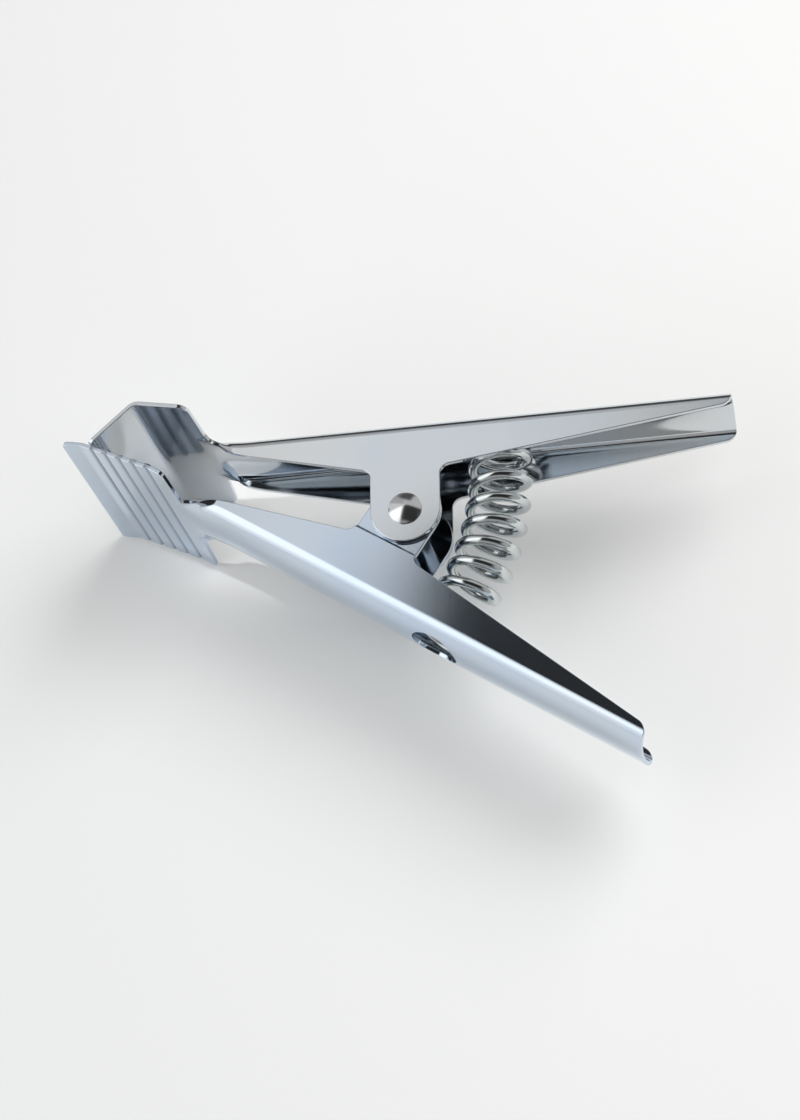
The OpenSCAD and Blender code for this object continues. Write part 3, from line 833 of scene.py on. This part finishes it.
def soft_lamp(name, towards, away, size, strength, tint=(1, 1, 1)):
    """A rectangular lamp at a distance away in a direction, facing the part. Its power is strength
    times its area, so that strength is its brightness whatever its size."""
    lamp = bpy.data.lights.new(name, "AREA")
    lamp.shape = "RECTANGLE"
    lamp.size, lamp.size_y = size
    lamp.energy = strength * size[0] * size[1]
    lamp.color = tint
    obj = bpy.data.objects.new(name, lamp)
    bpy.context.scene.collection.objects.link(obj)
    middle = Vector((0, 0, 0.02))
    obj.location = middle + Vector(unit(towards)) * away
    aim(obj, middle)
    obj.visible_glossy = False
    return obj

lamps = [soft_lamp("lamp_left", (-0.70, -0.66, 0.34), 1.0, (0.9, 0.4), 6.0, (0.82, 0.92, 1.0)),
         soft_lamp("lamp_rear", (0.42, 0.55, 0.72), 1.1, (0.9, 0.7), 12.5),
         soft_lamp("lamp_top", (0.45, -0.05, 0.89), 1.1, (0.6, 0.6), 5.0)]

mouth_light = bpy.data.lights.new("mouth_light", "SPOT")
mouth_light.energy = 5.0
mouth_light.spot_size = math.radians(4.6)
mouth_light.spot_blend = 1.0
mouth_light.shadow_soft_size = 0.01
mouth_lamp = bpy.data.objects.new("mouth_light", mouth_light)
bpy.context.scene.collection.objects.link(mouth_lamp)
mouth_lamp.location = (-0.041, 0.008, 0.60)
aim(mouth_lamp, Vector((-0.041, 0.002, 0)))
mouth_lamp.visible_glossy = False
print("lamps:", [lamp.name for lamp in lamps] + [mouth_lamp.name])

# %% [markdown]
# ## The surround
# Bright plating is a mirror, so its tones are a picture of the room. The room is painted on the world
# by direction alone: x, y and z of the way that a ray leaves in. Most of it is dark. A bright card
# stands on the left, and its edge is what cuts the lower flange into a light and a dark part. Dim
# walls close the right and the front, and a grey wall stands at the rear, darkest at its far end.
# The Standard view keeps these tones as they are set, where a filmic one would flatten them.
# %% Surround
bpy.context.scene.view_settings.view_transform = "Standard"
world = bpy.data.worlds.new("surround")
bpy.context.scene.world = world
world.use_nodes = True
sky, sky_links = world.node_tree.nodes, world.node_tree.links
ray_way = sky.new("ShaderNodeTexCoord")

def sky_math(kind, a, b=0.0):
    """One of Blender's math nodes. Each input is a number or an output."""
    node = sky.new("ShaderNodeMath")
    node.operation = kind
    for socket, value in zip(node.inputs, (a, b)):
        if isinstance(value, bpy.types.NodeSocket):
            sky_links.new(value, socket)
        else:
            socket.default_value = value
    return node.outputs[0]

def ease(value, start, stop, low=0.0, high=1.0):
    """low where value is at start, high where it is at stop, with a smooth step between."""
    node = sky.new("ShaderNodeMapRange")
    node.interpolation_type = "SMOOTHSTEP"
    sky_links.new(value, node.inputs["Value"])
    for socket, number in (("From Min", start), ("From Max", stop), ("To Min", low), ("To Max", high)):
        node.inputs[socket].default_value = number
    return node.outputs["Result"]

def product(first, *others):
    """All the values multiplied together."""
    for other in others:
        first = sky_math("MULTIPLY", first, other)
    return first

parts = sky.new("ShaderNodeSeparateXYZ")
sky_links.new(ray_way.outputs["Generated"], parts.inputs[0])
way_x, way_y = parts.outputs["X"], parts.outputs["Y"]
rear_slant = 0.6
slanted = sky_math("SUBTRACT", way_y, sky_math("MULTIPLY", way_x, rear_slant))

# The card on the left: a crisp edge, a slower rise to its full light, and a dimmer front part.
left_card = sky_math("ADD", ease(way_x, -0.264, -0.284, 0.0, 0.62), ease(way_x, -0.28, -0.38, 0.0, 0.80))
left_card = product(left_card, ease(way_y, -0.85, -0.40, 0.65, 1.0))

# The open room: the card, the dim walls on the right and in front, and a faint light everywhere.
faint_light = 0.03
open_room = sky_math("MAXIMUM", left_card, ease(way_x, 0.70, 0.90, 0.0, 0.45))
open_room = sky_math("MAXIMUM", open_room, ease(way_y, -0.50, -0.75, 0.0, 0.40))
open_room = sky_math("MAXIMUM", open_room, faint_light)

# The wall at the rear: brightest where it begins, a little dimmer behind the card, dark at its far end.
far_dimming = 0.85
far_dark = product(ease(way_y, 0.68, 0.84), ease(way_x, 0.10, -0.10))
far_left = sky_math("SUBTRACT", 1.0, sky_math("MULTIPLY", far_dark, far_dimming))
rear_wall = product(ease(way_y, 0.42, 0.47, 0.86, 0.54), ease(way_x, -0.34, -0.38, 1.0, 0.80), far_left)

# The wall takes over from the room along a slanted line on the left and a straight one elsewhere.
is_rear = sky_math("MAXIMUM", ease(slanted, 0.530, 0.550), ease(way_y, 0.45, 0.50))
room_part = product(open_room, sky_math("SUBTRACT", 1.0, is_rear))
surround = sky_math("ADD", room_part, product(rear_wall, is_rear))
sky_links.new(surround, sky["Background"].inputs["Color"])
print("surround:", len(sky), "nodes")
